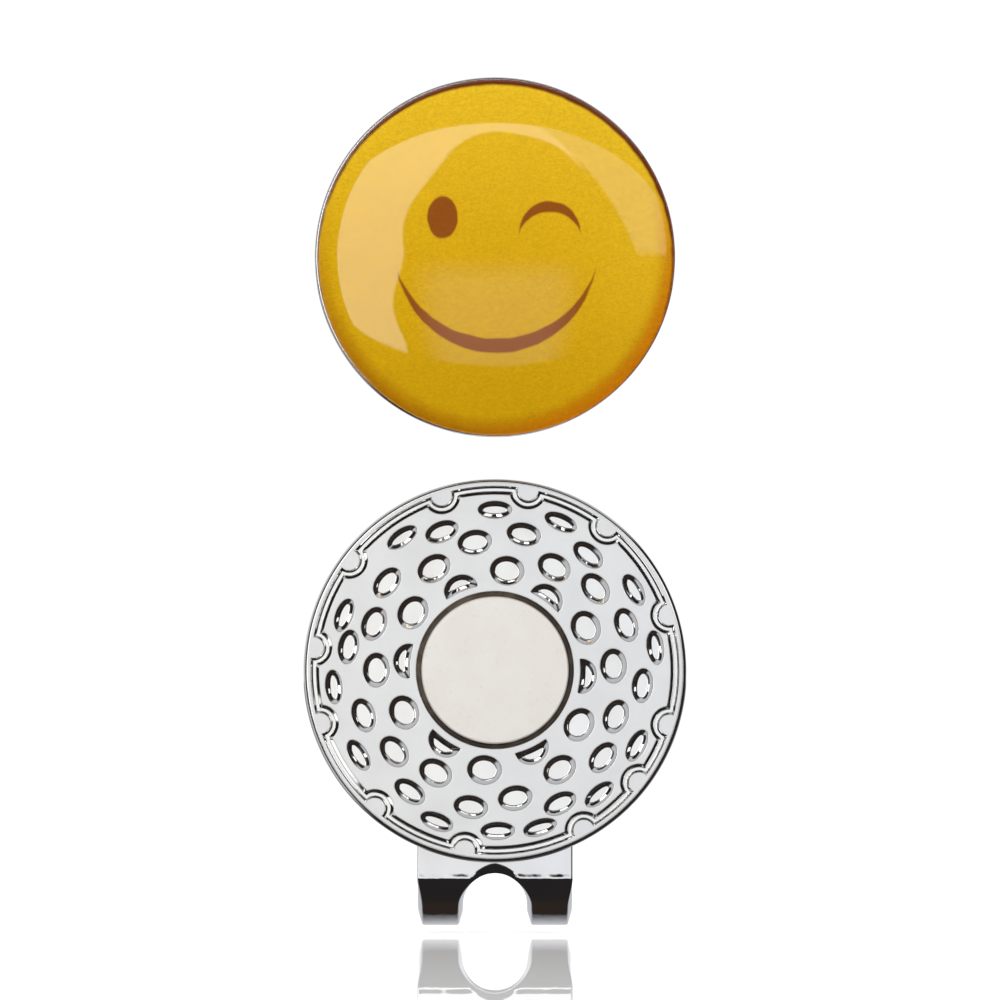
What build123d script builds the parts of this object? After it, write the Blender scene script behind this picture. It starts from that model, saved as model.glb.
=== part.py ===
"""Golf hat clip with a magnetic ball marker, made as its separate physical pieces.

Sizes are in millimetres. The face looks along -Y, Z is up and X runs to the viewer's right. The origin
lies on the disc's axis, on the inner face of the clip's front leaf, which is the face that a cap's brim
bears on. A height is measured from that face towards the viewer.
"""

import os
from math import cos, radians, sin, sqrt

from build123d import *

# ---------------------------------------------------------------- driving dimensions
# Round face of the clip, with its dimples, channel and magnet pocket.
FACE_DIAMETER = 26.6
FACE_THICKNESS = 1.5
FACE_FRONT_ROUND = 0.35
FACE_BACK_BREAK = 0.15
DIMPLE_LENGTH = 2.44
DIMPLE_DEPTH = 0.3
DIMPLE_WALL = 0.3
BALL_RADIUS = 13.1
CHANNEL_RADIUS = 12.68
CHANNEL_WIDTH = 0.42
CHANNEL_DEPTH = 0.25
TAB_CIRCLE = 12.62
TAB_RADIUS = 0.79
COLLAR_DIAMETER = 11.7
POCKET_DIAMETER = 10.9

# Magnet, glued into the pocket.
MAGNET_DIAMETER = 10.2
MAGNET_THICKNESS = 1.0
MAGNET_EDGE_BREAK = 0.12
MAGNET_SETBACK = 0.1
GLUE_FILM = 0.05
GLUE_SETBACK = 0.35

# Spring clip, one bent strip: front leaf, bend with a relief window, and a tongue with a flared lip.
STRIP_THICKNESS = 1.1
STRIP_WIDTH = 10.8
STRIP_EDGE_BREAK = 0.18
FOOT_BOTTOM = -17.7
BEND_OUTER_RADIUS = 3.4
LEAF_TOP = 7.0
LEAF_CORNER = 1.2
SOLDER_THICKNESS = 0.1
SOLDER_INSET = 0.4
SOLDER_BOTTOM = -11.4
RELIEF_WIDTH = 4.4
RELIEF_TOP = -14.05
TONGUE_LEAN = 13.5
TONGUE_CORNER = 3.2
PINCH_GAP = 0.6
PINCH_RADIUS = 2.6
LIP_ANGLE = 34.0
LIP_LENGTH = 1.8
SPLIT_GAP = 0.02

# Ball marker: a plated steel coin, a printed label and a clear resin dome over it.
MARKER_DIAMETER = 25.0
MARKER_LIFT = 28.6
SEAT_CLEARANCE = 0.05
COIN_THICKNESS = 1.1
COIN_EDGE_ROUND = 0.1
LABEL_DIAMETER = 24.7
LABEL_SHIFT = (0.09, -0.07)
ADHESIVE_THICKNESS = 0.06
PRINT_THICKNESS = 0.14
DOME_INSET = 0.05
DOME_EDGE_HEIGHT = 0.2
DOME_HEIGHT = 1.2

# The dimples lie as they do on a ball seen from its pole: each ring has a radius and its angles.
DIMPLE_RINGS = (
    (6.00, (54, 113, 174, 235, 295, 356)),
    (6.93, (25, 83, 145, 205, 264, 327)),
    (8.20, (2, 60, 121, 180, 240, 303)),
    (8.95, (39, 99, 159, 219, 279, 339)),
    (9.60, (19, 78, 141, 199, 260, 321)),
    (10.25, (51, 111, 171, 235, 296, 354)),
    (11.10, (30, 90, 160, 212, 271, 332)),
    (11.20, (8, 66, 125, 186, 249, 310)),
    (11.30, (286,)),
)
# Half-round tabs stand out from the rim into the channel, as dimples cut short by it.
TAB_ANGLES = (17.5, 52, 79.5, 107, 143, 173, 197, 229, 260.5, 299, 322, 342.5)

# ---------------------------------------------------------------- derived places
leaf_front = STRIP_THICKNESS
face_back = leaf_front + SOLDER_THICKNESS
face_front = face_back + FACE_THICKNESS
pocket_depth = MAGNET_SETBACK + MAGNET_THICKNESS + GLUE_FILM
strip_middle = STRIP_THICKNESS / 2
bend_radius = BEND_OUTER_RADIUS - strip_middle
bend_axis = Vector(0, BEND_OUTER_RADIUS - STRIP_THICKNESS, FOOT_BOTTOM + BEND_OUTER_RADIUS)
pinch_axis_y = PINCH_GAP + strip_middle + PINCH_RADIUS
run_start_y = bend_axis.Y + bend_radius * cos(radians(TONGUE_LEAN))
run_end_y = pinch_axis_y - PINCH_RADIUS * cos(radians(TONGUE_LEAN))
tongue_run = (run_start_y - run_end_y) / sin(radians(TONGUE_LEAN))
relief_radius = RELIEF_WIDTH / 2
coin_back = face_front + SEAT_CLEARANCE
label_back = coin_back + COIN_THICKNESS
print_back = label_back + ADHESIVE_THICKNESS
dome_back = print_back + PRINT_THICKNESS
marker_centre = (0, MARKER_LIFT)
label_centre = (LABEL_SHIFT[0], MARKER_LIFT + LABEL_SHIFT[1])
dome_radius = LABEL_DIAMETER / 2 - DOME_INSET
crown_rise = DOME_HEIGHT - DOME_EDGE_HEIGHT


def at_height(height):
    """The plane at a height above the brim face, seen by the viewer: its x is X and its y is Z."""
    return Plane.XZ.offset(height)


def on_face(radius, angle):
    """The point at a radius and an angle from the disc's axis."""
    return (radius * cos(radians(angle)), radius * sin(radians(angle)))


def round_ended_outline(tip, corner):
    """A strip's outline, seen by the viewer: straight sides and a free end at tip with round corners."""
    with BuildSketch(mode=Mode.PRIVATE) as outline:
        with Locations((0, tip)):
            Rectangle(STRIP_WIDTH, tip - FOOT_BOTTOM, align=(Align.CENTER, Align.MAX))
        fillet(outline.vertices().group_by(Axis.Y)[-1], corner)
    return outline.sketch


# ---------------------------------------------------------------- face plate
# Each dimple is an oval bowl with a flat floor. It is narrower towards the rim, as on a ball, and the
# plain collar around the pocket cuts the innermost ring of them short.
half_length = DIMPLE_LENGTH / 2
with BuildPart() as dimples:
    for ring_radius, ring_angles in DIMPLE_RINGS:
        half_width = half_length * sqrt(1 - (ring_radius / BALL_RADIUS) ** 2)
        for ring_angle in ring_angles:
            for depth, inset in ((0, 0), (DIMPLE_DEPTH, DIMPLE_WALL)):
                with BuildSketch(at_height(face_front - depth)):
                    with Locations(on_face(ring_radius, ring_angle)):
                        Ellipse(half_width - inset, half_length - inset, rotation=ring_angle)
            loft(ruled=True)
    with BuildSketch(at_height(face_front - DIMPLE_DEPTH)):
        Circle(COLLAR_DIAMETER / 2)
    extrude(amount=DIMPLE_DEPTH, mode=Mode.SUBTRACT)

with BuildPart() as face_plate:
    with BuildSketch(at_height(face_back)):
        Circle(FACE_DIAMETER / 2)
    extrude(amount=FACE_THICKNESS)
    fillet(face_plate.edges().sort_by(Axis.Y)[0], FACE_FRONT_ROUND)
    chamfer(face_plate.edges().sort_by(Axis.Y)[-1], FACE_BACK_BREAK)
    with BuildSketch(at_height(face_front)):
        Circle(POCKET_DIAMETER / 2)
    extrude(amount=-pocket_depth, mode=Mode.SUBTRACT)
    # The channel is the band between two outlines that both go round every tab.
    with BuildSketch(at_height(face_front)):
        for inset, cut in ((0, Mode.ADD), (CHANNEL_WIDTH, Mode.SUBTRACT)):
            with BuildSketch(mode=Mode.PRIVATE) as outline:
                Circle(CHANNEL_RADIUS - inset)
                with Locations(*[on_face(TAB_CIRCLE, tab_angle) for tab_angle in TAB_ANGLES]):
                    Circle(TAB_RADIUS + inset, mode=Mode.SUBTRACT)
            add(outline.sketch, mode=cut)
    extrude(amount=-CHANNEL_DEPTH, mode=Mode.SUBTRACT)
    add(dimples.part, mode=Mode.SUBTRACT)

# ---------------------------------------------------------------- magnet and its glue
with BuildPart() as magnet:
    with BuildSketch(at_height(face_front - MAGNET_SETBACK)):
        Circle(MAGNET_DIAMETER / 2)
    extrude(amount=-MAGNET_THICKNESS)
    chamfer(magnet.edges().filter_by(GeomType.CIRCLE), MAGNET_EDGE_BREAK)

# The glue is a thin cup: a film under the magnet and a ring squeezed up around it.
with BuildPart() as magnet_glue:
    with BuildSketch(at_height(face_front - pocket_depth)):
        Circle(POCKET_DIAMETER / 2)
    extrude(amount=pocket_depth - GLUE_SETBACK)
    add(magnet.part, mode=Mode.SUBTRACT)
    split(bisect_by=at_height(face_front - GLUE_SETBACK), keep=Keep.BOTTOM)

# ---------------------------------------------------------------- spring clip
# The relief window goes through the bend from the front leaf to the tongue, with a round top.
with BuildPart() as relief:
    with BuildSketch(at_height(leaf_front + 1)):
        with Locations((0, RELIEF_TOP - relief_radius)):
            Circle(relief_radius)
            Rectangle(RELIEF_WIDTH, 2 * relief_radius, align=(Align.CENTER, Align.MAX))
    extrude(amount=-2 * BEND_OUTER_RADIUS - 3)

# Front leaf and the front half of the bend, which carry the face plate.
with BuildPart() as clip_neck:
    with BuildLine(Plane.YZ) as neck_path:
        leaf_run = Line((-strip_middle, LEAF_TOP), (-strip_middle, bend_axis.Z))
        JernArc(leaf_run @ 1, leaf_run % 1, bend_radius, 90)
    with BuildSketch(Plane(leaf_run @ 0, x_dir=(1, 0, 0), z_dir=leaf_run % 0)):
        RectangleRounded(STRIP_WIDTH, STRIP_THICKNESS, STRIP_EDGE_BREAK)
    sweep(path=neck_path.wires()[0])
    with BuildSketch(at_height(leaf_front + 1)):
        add(round_ended_outline(LEAF_TOP, LEAF_CORNER))
    extrude(amount=-2 * BEND_OUTER_RADIUS, mode=Mode.INTERSECT)
    add(relief.part, mode=Mode.SUBTRACT)

# Back half of the bend, the tongue that presses on the brim, and its flared lip.
with BuildPart() as clip_tongue:
    with BuildLine(Plane.YZ) as tongue_path:
        bend_start = (bend_axis.Y + SPLIT_GAP, FOOT_BOTTOM + strip_middle)
        bend = JernArc(bend_start, (1, 0), bend_radius, 90 + TONGUE_LEAN)
        run = Line(bend @ 1, bend @ 1 + tongue_run * (bend % 1))
        pinch = JernArc(run @ 1, run % 1, PINCH_RADIUS, -(TONGUE_LEAN + LIP_ANGLE))
        Line(pinch @ 1, pinch @ 1 + LIP_LENGTH * (pinch % 1))
    with BuildSketch(Plane(bend @ 0, x_dir=(1, 0, 0), z_dir=bend % 0)):
        RectangleRounded(STRIP_WIDTH, STRIP_THICKNESS, STRIP_EDGE_BREAK)
    sweep(path=tongue_path.wires()[0])
    tongue_tip = clip_tongue.part.bounding_box().max.Z
    with BuildSketch(at_height(0)):
        add(round_ended_outline(tongue_tip, TONGUE_CORNER))
    extrude(amount=-3 * BEND_OUTER_RADIUS, mode=Mode.INTERSECT)
    add(relief.part, mode=Mode.SUBTRACT)

# Solder between the front leaf and the back of the face plate.
with BuildPart() as solder_joint:
    with BuildSketch(at_height(leaf_front)):
        with Locations((0, SOLDER_BOTTOM)):
            Rectangle(
                STRIP_WIDTH - 2 * SOLDER_INSET,
                LEAF_TOP - SOLDER_INSET - SOLDER_BOTTOM,
                align=(Align.CENTER, Align.MIN),
            )
        fillet(vertices(), LEAF_CORNER)
    extrude(amount=SOLDER_THICKNESS)

# ---------------------------------------------------------------- ball marker
with BuildPart() as marker_coin:
    with BuildSketch(at_height(coin_back)):
        with Locations(marker_centre):
            Circle(MARKER_DIAMETER / 2)
    extrude(amount=COIN_THICKNESS)
    fillet(marker_coin.edges().filter_by(GeomType.CIRCLE), COIN_EDGE_ROUND)

with BuildPart() as label_adhesive:
    with BuildSketch(at_height(label_back)):
        with Locations(label_centre):
            Circle(LABEL_DIAMETER / 2)
    extrude(amount=ADHESIVE_THICKNESS)

with BuildPart() as printed_label:
    with BuildSketch(at_height(print_back)):
        with Locations(label_centre):
            Circle(LABEL_DIAMETER / 2)
    extrude(amount=PRINT_THICKNESS)

# The dome is half of its section turned round the label's axis: a low edge and an elliptical crown.
dome_section = Plane(
    origin=(label_centre[0], -dome_back, label_centre[1]), x_dir=(1, 0, 0), z_dir=(0, 0, 1)
)
with BuildPart() as resin_dome:
    with BuildSketch(dome_section):
        with BuildLine():
            Polyline((0, -DOME_HEIGHT), (0, 0), (dome_radius, 0), (dome_radius, -DOME_EDGE_HEIGHT))
            EllipticalCenterArc((0, -DOME_EDGE_HEIGHT), dome_radius, crown_rise, 270, arc_size=90)
        make_face()
    revolve(axis=Axis((label_centre[0], 0, label_centre[1]), (0, 1, 0)))

# ---------------------------------------------------------------- files
face_plate.part.label = "face_plate"
magnet.part.label = "magnet"
magnet_glue.part.label = "magnet_glue"
solder_joint.part.label = "solder_joint"
clip_neck.part.label = "clip_neck"
clip_tongue.part.label = "clip_tongue"
marker_coin.part.label = "marker_coin"
label_adhesive.part.label = "label_adhesive"
printed_label.part.label = "printed_label"
resin_dome.part.label = "resin_dome"

os.makedirs("parts", exist_ok=True)
export_step(face_plate.part, "parts/face_plate.step")
export_step(magnet.part, "parts/magnet.step")
export_step(magnet_glue.part, "parts/magnet_glue.step")
export_step(solder_joint.part, "parts/solder_joint.step")
export_step(clip_neck.part, "parts/clip_neck.step")
export_step(clip_tongue.part, "parts/clip_tongue.step")
export_step(marker_coin.part, "parts/marker_coin.step")
export_step(label_adhesive.part, "parts/label_adhesive.step")
export_step(printed_label.part, "parts/printed_label.step")
export_step(resin_dome.part, "parts/resin_dome.step")
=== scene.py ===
"""Looks of a golf hat clip and its magnetic ball marker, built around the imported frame.

Every piece is a closed mesh in metres in the frame's own axes: the face looks along -Y and Z is up.
Outlines are drawn in millimetres in a piece's own plan, as (across, along, height), and then placed.
"""

from math import acos, asin, atan2, cos, pi, radians, sin, sqrt, tan

import bpy
from bpy.props import FloatProperty, FloatVectorProperty, PointerProperty
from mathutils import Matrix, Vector, noise
from mathutils.geometry import delaunay_2d_cdt


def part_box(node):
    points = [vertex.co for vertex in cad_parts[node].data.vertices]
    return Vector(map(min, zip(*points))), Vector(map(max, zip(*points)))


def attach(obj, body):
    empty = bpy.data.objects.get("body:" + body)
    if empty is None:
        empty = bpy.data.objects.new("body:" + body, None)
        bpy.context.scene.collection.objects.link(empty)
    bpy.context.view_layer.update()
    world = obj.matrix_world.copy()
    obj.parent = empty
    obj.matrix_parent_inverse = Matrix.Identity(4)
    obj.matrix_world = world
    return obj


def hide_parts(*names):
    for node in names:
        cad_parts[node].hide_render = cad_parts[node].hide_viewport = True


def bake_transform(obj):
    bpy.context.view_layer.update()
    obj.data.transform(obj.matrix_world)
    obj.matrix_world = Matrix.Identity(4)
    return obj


bl_info = {
    "name": "Hat Clip and Ball Marker",
    "version": (1, 0, 0),
    "blender": (4, 5, 0),
    "location": "3D View > Sidebar > Hat Clip",
    "description": "Builds a polished golf hat clip, its magnet and a domed ball marker round a packed frame",
    "category": "Add Mesh",
}

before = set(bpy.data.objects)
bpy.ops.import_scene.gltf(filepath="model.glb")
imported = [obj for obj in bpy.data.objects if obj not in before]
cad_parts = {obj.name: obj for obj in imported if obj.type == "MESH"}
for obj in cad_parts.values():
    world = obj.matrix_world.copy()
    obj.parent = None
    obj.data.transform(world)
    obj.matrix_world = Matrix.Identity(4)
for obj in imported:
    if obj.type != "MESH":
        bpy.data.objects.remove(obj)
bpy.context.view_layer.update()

MM = 0.001

# ---------------------------------------------------------------- places taken from the frame
PLATE_LOW, PLATE_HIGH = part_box("face_plate")
MAGNET_LOW, MAGNET_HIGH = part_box("magnet")
GLUE_LOW, GLUE_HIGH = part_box("magnet_glue")
NECK_LOW, NECK_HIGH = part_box("clip_neck")
COIN_LOW, COIN_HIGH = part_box("marker_coin")
LABEL_LOW, LABEL_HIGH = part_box("printed_label")
DOME_LOW, DOME_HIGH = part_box("resin_dome")

FACE_RADIUS = (PLATE_HIGH.x - PLATE_LOW.x) / 2 / MM
FACE_THICKNESS = (PLATE_HIGH.y - PLATE_LOW.y) / MM
STRIP_THICKNESS = -NECK_LOW.y / MM
STRIP_HALF_WIDTH = NECK_HIGH.x / MM
BEND_OUTER_RADIUS = (NECK_HIGH.y - NECK_LOW.y) / MM
BEND_LEVEL = NECK_LOW.z / MM + BEND_OUTER_RADIUS
LEAF_LENGTH = NECK_HIGH.z / MM - BEND_LEVEL
BEND_MIDDLE_RADIUS = BEND_OUTER_RADIUS - STRIP_THICKNESS / 2

# The dimples lie as they do on a ball seen from its pole: each ring has a radius and its angles.
DIMPLE_RINGS = (
    (6.00, (54, 113, 174, 235, 295, 356)),
    (6.93, (25, 83, 145, 205, 264, 327)),
    (8.20, (2, 60, 121, 180, 240, 303)),
    (8.95, (39, 99, 159, 219, 279, 339)),
    (9.60, (19, 78, 141, 199, 260, 321)),
    (10.25, (51, 111, 171, 235, 296, 354)),
    (11.10, (30, 90, 160, 212, 271, 332)),
    (11.20, (8, 66, 125, 186, 249, 310)),
    (11.30, (286,)),
)
TAB_ANGLES = (17.5, 52, 79.5, 107, 143, 173, 197, 229, 260.5, 299, 322, 342.5)


# ---------------------------------------------------------------- settings
class PlateSettings(bpy.types.PropertyGroup):
    """Sizes and finish of the dimpled disc."""

    dimple_length: FloatProperty(
        name="Dimple Length", description="Length of a dimple's mouth along its ring",
        default=2.5 * MM, min=0.5 * MM, max=4 * MM, subtype="DISTANCE", unit="LENGTH",
    )
    dimple_depth: FloatProperty(
        name="Dimple Depth", description="Depth of a dimple's flat floor",
        default=0.3 * MM, min=0.05 * MM, max=0.6 * MM, subtype="DISTANCE", unit="LENGTH",
    )
    wall_slope: FloatProperty(
        name="Wall Slope", description="Steepest slope of the dimples' walls",
        default=radians(43), min=radians(10), max=radians(80), subtype="ANGLE", unit="ROTATION",
    )
    channel_depth: FloatProperty(
        name="Channel Depth", description="Depth of the channel inside the rim",
        default=0.26 * MM, min=0.05 * MM, max=0.6 * MM, subtype="DISTANCE", unit="LENGTH",
    )
    nickel: FloatVectorProperty(
        name="Nickel", description="Colour of the nickel plating",
        default=(0.88, 0.877, 0.87), min=0, max=1, subtype="COLOR",
    )


class MagnetSettings(bpy.types.PropertyGroup):
    """Finish of the magnet and of its glue."""

    plating: FloatVectorProperty(
        name="Plating", description="Colour of the magnet's satin plating",
        default=(0.90, 0.87, 0.83), min=0, max=1, subtype="COLOR",
    )
    glue: FloatVectorProperty(
        name="Glue", description="Colour of the cured glue",
        default=(0.034, 0.021, 0.013), min=0, max=1, subtype="COLOR",
    )


class StripSettings(bpy.types.PropertyGroup):
    """Sizes of the bent strip that the frame doesn't give."""

    edge_round: FloatProperty(
        name="Edge Round", description="Rounding of the strip's long edges",
        default=0.12 * MM, min=0.05 * MM, max=0.5 * MM, subtype="DISTANCE", unit="LENGTH",
    )
    bend_squeeze: FloatProperty(
        name="Bend Squeeze", description="How far the strip's outer skin draws in at each side of the bend",
        default=0.34 * MM, min=0, max=0.6 * MM, subtype="DISTANCE", unit="LENGTH",
    )
    plating: FloatVectorProperty(
        name="Plating", description="Colour of the strip's bright plating",
        default=(0.79, 0.795, 0.81), min=0, max=1, subtype="COLOR",
    )
    tongue_lean: FloatProperty(
        name="Tongue Lean", description="How far the tongue leans towards the front leaf",
        default=radians(13.5), min=0, max=radians(30), subtype="ANGLE", unit="ROTATION",
    )


class MarkerSettings(bpy.types.PropertyGroup):
    """Colours of the ball marker."""

    yellow: FloatVectorProperty(
        name="Yellow", description="Ground colour of the printed label",
        default=(0.80, 0.505, 0.012), min=0, max=1, subtype="COLOR",
    )
    outline: FloatVectorProperty(
        name="Outline", description="Colour of the printed lines",
        default=(0.33, 0.10, 0.015), min=0, max=1, subtype="COLOR",
    )


class StageSettings(bpy.types.PropertyGroup):
    """Camera and floor."""

    lens: FloatProperty(
        name="Lens", description="Focal length of the camera in millimetres",
        default=200, min=20, max=500,
    )
    view_height: FloatProperty(
        name="View Height", description="Height of the scene that the camera sees",
        default=69.25 * MM, min=10 * MM, subtype="DISTANCE", unit="LENGTH",
    )
    camera_drop: FloatProperty(
        name="Camera Drop", description="How far below level the camera looks up from",
        default=radians(3), min=0, max=radians(30), subtype="ANGLE", unit="ROTATION",
    )
    aim: FloatVectorProperty(
        name="Aim", description="Point at the middle of the view",
        default=(0.35 * MM, -2.7 * MM, 11.77 * MM), subtype="TRANSLATION", unit="LENGTH",
    )
    floor_gap: FloatProperty(
        name="Floor Gap", description="Gap between the clip's foot and the mirror face of the floor",
        default=0.5 * MM, min=0, subtype="DISTANCE", unit="LENGTH",
    )


# ---------------------------------------------------------------- shader work
class Wire:
    """A node's output that takes part in expressions: each sum or product adds its Math node."""

    def __init__(self, graph, socket):
        self.graph = graph
        self.socket = socket

    def __add__(self, other):
        return self.graph.math("ADD", self, other)

    def __radd__(self, other):
        return self.graph.math("ADD", other, self)

    def __sub__(self, other):
        return self.graph.math("SUBTRACT", self, other)

    def __rsub__(self, other):
        return self.graph.math("SUBTRACT", other, self)

    def __mul__(self, other):
        return self.graph.math("MULTIPLY", self, other)

    def __rmul__(self, other):
        return self.graph.math("MULTIPLY", other, self)

    def __truediv__(self, other):
        return self.graph.math("DIVIDE", self, other)

    def __abs__(self):
        return self.graph.math("ABSOLUTE", self)


class Graph:
    """The nodes of one material or world."""

    def __init__(self, owner):
        owner.use_nodes = True
        self.owner = owner
        self.tree = owner.node_tree
        self.tree.nodes.clear()

    def node(self, kind, settings=None, inputs=None, output=0):
        """Add a node: its settings first, then its sockets' values or links. Gives the wire of one output."""
        made = self.tree.nodes.new(kind)
        for name, value in (settings or {}).items():
            setattr(made, name, value)
        for name, value in (inputs or {}).items():
            if isinstance(value, Wire):
                self.tree.links.new(value.socket, made.inputs[name])
            else:
                made.inputs[name].default_value = value
        return Wire(self, made.outputs[output]) if made.outputs else made

    def math(self, operation, *values):
        """A Math node."""
        return self.node("ShaderNodeMath", {"operation": operation}, dict(enumerate(values)))

    def least(self, *values):
        """The smallest of some values."""
        result = values[0]
        for value in values[1:]:
            result = self.math("MINIMUM", result, value)
        return result

    def step(self, value, low, high):
        """0 below low, 1 above high, and a smooth rise between them."""
        limits = {"Value": value, "From Min": low, "From Max": high, "To Min": 0.0, "To Max": 1.0}
        return self.node("ShaderNodeMapRange", {"interpolation_type": "SMOOTHSTEP"}, limits)

    def band(self, value, low, high, soft):
        """1 between low and high, with soft ends."""
        return self.step(value, low - soft, low + soft) * (1 - self.step(value, high - soft, high + soft))

    def blend(self, factor, below, above):
        """One colour over another."""
        inputs = {0: factor, 6: solid(below), 7: solid(above)}
        return self.node("ShaderNodeMix", {"data_type": "RGBA"}, inputs, output=2)

    def place(self):
        """Where a point lies on its piece, in metres."""
        return self.node("ShaderNodeTexCoord", output="Object")

    def axis(self, name, vector=None):
        """One axis of a vector, or of where a point lies."""
        vector = self.place() if vector is None else vector
        return self.node("ShaderNodeSeparateXYZ", {}, {0: vector}, output=name)

    def noise(self, size, detail=2.0, stretch=None):
        """Noise from 0 to 1 with features of about a size in metres."""
        vector = self.place()
        if stretch:
            inputs = {0: vector, 1: stretch}
            vector = self.node("ShaderNodeVectorMath", {"operation": "MULTIPLY"}, inputs)
        return self.node("ShaderNodeTexNoise", {}, {"Vector": vector, "Scale": 1 / size, "Detail": detail})

    def relief(self, height, depth):
        """A normal from a height field: depth is in metres."""
        return self.node("ShaderNodeBump", {}, {"Height": height, "Distance": depth, "Strength": 1.0})

    def surface(self, **sockets):
        """The material's shader. Underscores in a socket's name stand for spaces."""
        inputs = {name.replace("_", " "): value for name, value in sockets.items()}
        shader = self.node("ShaderNodeBsdfPrincipled", {}, inputs)
        self.node("ShaderNodeOutputMaterial", {}, {"Surface": shader})
        return self.owner


def solid(colour):
    """A plain colour with the alpha that a colour socket asks for."""
    return colour if isinstance(colour, Wire) else (*colour[:3], 1.0)


def tint(colour, *factors):
    """A colour with each of its channels multiplied."""
    return tuple(min(1.0, channel * factor) for channel, factor in zip(colour, factors))


def material_graph(name):
    """A new material and its graph."""
    return Graph(bpy.data.materials.new(name))


def polished_metal(name, colour, dull, ripple, shaded_front_y=None, bend_level=None):
    """Bright plating: faint ripples from buffing, and clouds where it is a little duller.

    The fifth argument is the Y of a flat front that is more matt than what lies below it, and greyer with
    painted shade.
    bend_level is the Z below which bending has left the skin less even.
    """
    graph = material_graph(name)
    tone = graph.step(graph.noise(3.1 * MM, 3.0), 0.3, 0.75)
    grain = graph.noise(0.22 * MM, 2.0)
    ripples = graph.noise(1.3 * MM, 1.0)
    if bend_level is not None:
        bent = 1 - graph.step(graph.axis("Z") - bend_level, -0.15 * MM, 0.35 * MM)
        ripples = ripples + 5 * bent * graph.noise(1.0 * MM, 2.0, stretch=(1, 1, 0.5))
    base = graph.blend(tone * 0.8, colour, tint(colour, 0.93, 0.92, 0.90))
    metallic = 1.0
    if shaded_front_y is not None:
        depth = graph.axis("Y") - shaded_front_y
        near_front_shade = 1 - graph.step(depth, 0.1 * MM, 0.24 * MM)
        front_shade = 1 - graph.step(depth, 0.004 * MM, 0.02 * MM)
        # Painted shade: the flat front, and faintly a thin band just behind it, are made greyer than the
        # floors of the hollows.
        base = graph.blend(near_front_shade * 0.9, base, tint(colour, 0.87, 0.875, 0.88))
        base = graph.blend(front_shade * (0.82 + 0.16 * tone), base, tint(colour, 0.65, 0.655, 0.665))
        metallic = 1 - 0.5 * front_shade
    return graph.surface(
        Base_Color=base,
        Metallic=metallic,
        Roughness=dull + 0.035 * tone + 0.03 * grain,
        Normal=graph.relief(ripples, ripple),
    )


def satin_plating(colour):
    """Matt plating on the magnet, with a fine orange peel and faint warm clouds."""
    graph = material_graph("magnet_plating")
    clouds = graph.step(graph.noise(1.6 * MM, 3.0), 0.3, 0.75)
    specks = graph.step(graph.noise(0.28 * MM, 2.0), 0.62, 0.74)
    pits = graph.step(graph.noise(0.5 * MM, 0.0), 0.16, 0.22)
    base = graph.blend(clouds, colour, tint(colour, 0.99, 0.975, 0.95))
    base = graph.blend(specks * 0.16, base, (0.62, 0.55, 0.48))
    return graph.surface(
        Base_Color=base,
        Metallic=0.65,
        Roughness=0.42 + 0.02 * clouds,
        Normal=graph.relief(graph.noise(0.18 * MM, 2.0) + 0.4 * pits, 0.002 * MM),
    )


def cured_glue(colour):
    """Dark glue with a dull skin and lighter smears, and a painted highlight that lightens it at the upper
    left, most on the smears.
    """
    graph = material_graph("glue")
    smears = graph.step(graph.noise(0.9 * MM, 3.0), 0.42, 0.72)
    # Painted highlight: the glue is lighter at the upper left, where the light comes from.
    upper_left_highlight = graph.step(graph.axis("Z") - graph.axis("X"), -2 * MM, 6 * MM)
    base = graph.blend(smears, colour, tint(colour, 2.2, 2.4, 2.4))
    return graph.surface(
        Base_Color=graph.blend(upper_left_highlight * (0.35 + 0.65 * smears), base, tint(colour, 3.8, 4.6, 5.0)),
        Roughness=0.36 + 0.25 * smears,
        Normal=graph.relief(graph.noise(0.35 * MM, 3.0), 0.03 * MM),
    )


def dull_solder():
    """Grey solder with a frosty, slightly lumpy skin."""
    graph = material_graph("solder")
    frost = graph.step(graph.noise(0.25 * MM, 3.0), 0.4, 0.7)
    return graph.surface(
        Base_Color=graph.blend(frost, (0.44, 0.44, 0.45), (0.62, 0.62, 0.63)),
        Metallic=1.0,
        Roughness=0.34 + 0.22 * frost,
        Normal=graph.relief(graph.noise(0.4 * MM, 3.0), 0.02 * MM),
    )


def clear_adhesive():
    """The adhesive under the label, milky where it shows at the rim."""
    graph = material_graph("adhesive")
    milk = graph.step(graph.noise(0.5 * MM, 2.0), 0.35, 0.7)
    return graph.surface(
        Base_Color=graph.blend(milk, (0.70, 0.68, 0.62), (0.84, 0.83, 0.80)),
        Roughness=0.35 + 0.2 * milk,
    )


def clear_resin():
    """The clear doming resin."""
    graph = material_graph("clear_resin")
    swirl = graph.step(graph.noise(5.0 * MM, 1.0), 0.3, 0.7)
    return graph.surface(
        Base_Color=graph.blend(swirl, (0.995, 0.992, 0.97), (0.98, 0.975, 0.94)),
        Roughness=0.0,
        Transmission_Weight=1.0,
        IOR=1.5,
        Normal=graph.relief(graph.noise(4.0 * MM, 1.0), 0.004 * MM),
    )


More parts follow.
